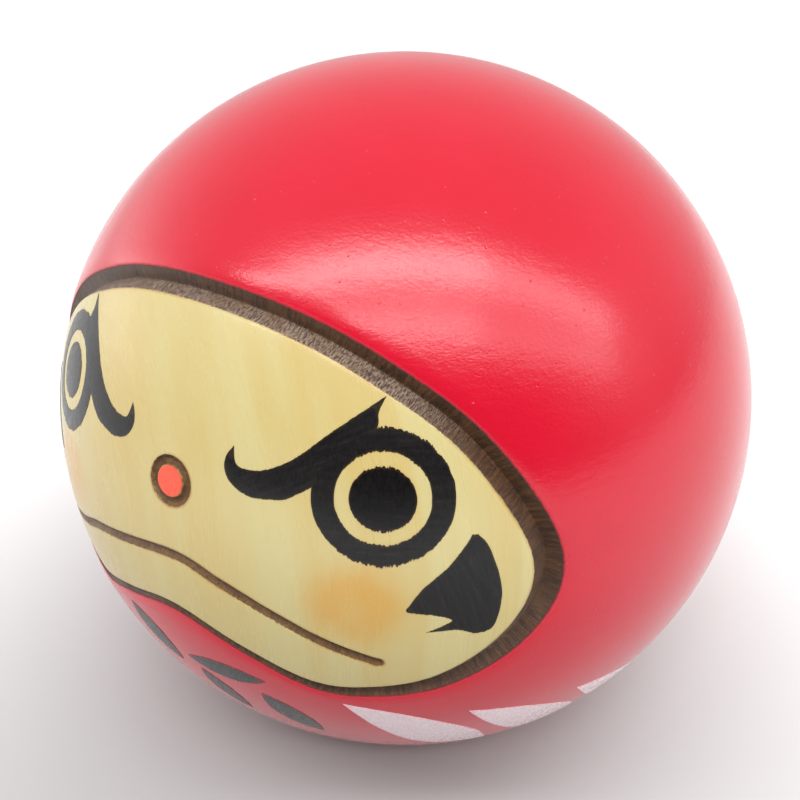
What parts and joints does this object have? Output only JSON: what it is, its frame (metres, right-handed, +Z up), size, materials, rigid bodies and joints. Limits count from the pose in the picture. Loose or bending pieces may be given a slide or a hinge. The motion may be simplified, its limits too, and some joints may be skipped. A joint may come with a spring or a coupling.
{
  "type": "daruma doll",
  "caption": "Self-righting turned-wood doll: red lacquered ball with a groove-edged bare wood face, painted eyes and brows, brushed robe strokes and a weighted flat foot.",
  "frame": {"origin": "centre of the flat foot, on the surface that the doll stands on", "axes": "+Z up through the ball's centre, -Y the way the face looks, +X towards the doll's left hand"},
  "size_m": [0.07, 0.07, 0.0673],
  "materials": {
    "bare_wood": "thin satin varnish over pale close-grained wood, burnt brown in the grooves",
    "red_lacquer": "satin sprayed lacquer with a fine orange peel",
    "slug_steel": "sawn bar, unpolished",
    "plug_wood": "turned end grain, unvarnished",
    "black_ink": "brushed black, dull",
    "coral_paint": "brushed coral red, dull",
    "grey_ink": "brushed black under a thin varnish",
    "white_paint": "thin brushed white, the red showing through its edges"
  },
  "bodies": {
    "root": {"turned_body": "bare_wood", "lacquer_coat": "red_lacquer", "steel_slug": "slug_steel", "foot_plug": "plug_wood", "eye_rings": "black_ink", "pupils": "black_ink", "brow_strokes": "black_ink", "whisker_strokes": "black_ink", "nose_dot": "coral_paint", "belly_leaves": "grey_ink", "robe_strokes": "white_paint"}
  },
  "joints": []
}
